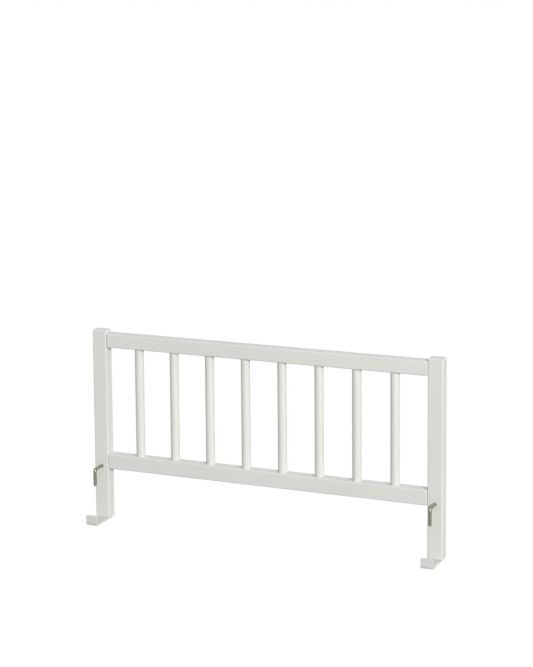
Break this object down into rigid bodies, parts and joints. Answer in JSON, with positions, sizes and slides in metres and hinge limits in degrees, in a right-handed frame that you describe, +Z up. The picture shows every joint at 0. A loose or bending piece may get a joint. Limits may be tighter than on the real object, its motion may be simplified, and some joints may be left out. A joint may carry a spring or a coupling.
{
  "type": "bed guard rail",
  "caption": "Painted wooden guard for the side of a child's bed: round spindles between rails and posts, turning rod hooks, and bent steel brackets that hold the bed's side board.",
  "frame": {"origin": "under the middle of the guard's bounding box, on the plane that the brackets stand on", "axes": "+X along the rails, +Y away from the bed, +Z up; the hooks and the brackets' lips are on the -Y side"},
  "size_m": [0.9, 0.089, 0.4768],
  "materials": {
    "painted_wood": "off-white satin paint on wood",
    "bare_beech": "bare beech dowel",
    "painted_steel": "off-white powder coat on bent steel",
    "bright_rod": "nickel-plated bent rod",
    "zinc_steel": "zinc-plated steel"
  },
  "bodies": {
    "frame": {"left_post": "painted_wood", "right_post": "painted_wood", "upper_rail": "painted_wood", "lower_rail": "painted_wood", "spindle_1": "painted_wood", "spindle_2": "painted_wood", "spindle_3": "painted_wood", "spindle_4": "painted_wood", "spindle_5": "painted_wood", "spindle_6": "painted_wood", "spindle_7": "painted_wood", "spindle_8": "painted_wood", "upper_left_dowel_1": "bare_beech", "upper_left_dowel_2": "bare_beech", "upper_right_dowel_1": "bare_beech", "upper_right_dowel_2": "bare_beech", "lower_left_dowel_1": "bare_beech", "lower_left_dowel_2": "bare_beech", "lower_right_dowel_1": "bare_beech", "lower_right_dowel_2": "bare_beech", "left_bracket": "painted_steel", "right_bracket": "painted_steel", "left_bracket_screw_outer": "zinc_steel", "left_bracket_screw_inner": "zinc_steel", "right_bracket_screw_outer": "zinc_steel", "right_bracket_screw_inner": "zinc_steel", "left_hook_insert": "zinc_steel", "right_hook_insert": "zinc_steel"},
    "left_hook": {"left_hook": "bright_rod"},
    "right_hook": {"right_hook": "bright_rod"}
  },
  "joints": [
    {"name": "left_hook_turn", "type": "hinge", "parent": "frame", "child": "left_hook", "pos_m": [-0.4315, 0.0145, 0.1353], "axis": [0, 1, 0], "range_deg": [-180, 180]},
    {"name": "right_hook_turn", "type": "hinge", "parent": "frame", "child": "right_hook", "pos_m": [0.4315, 0.0145, 0.1353], "axis": [0, 1, 0], "range_deg": [-180, 180]}
  ]
}
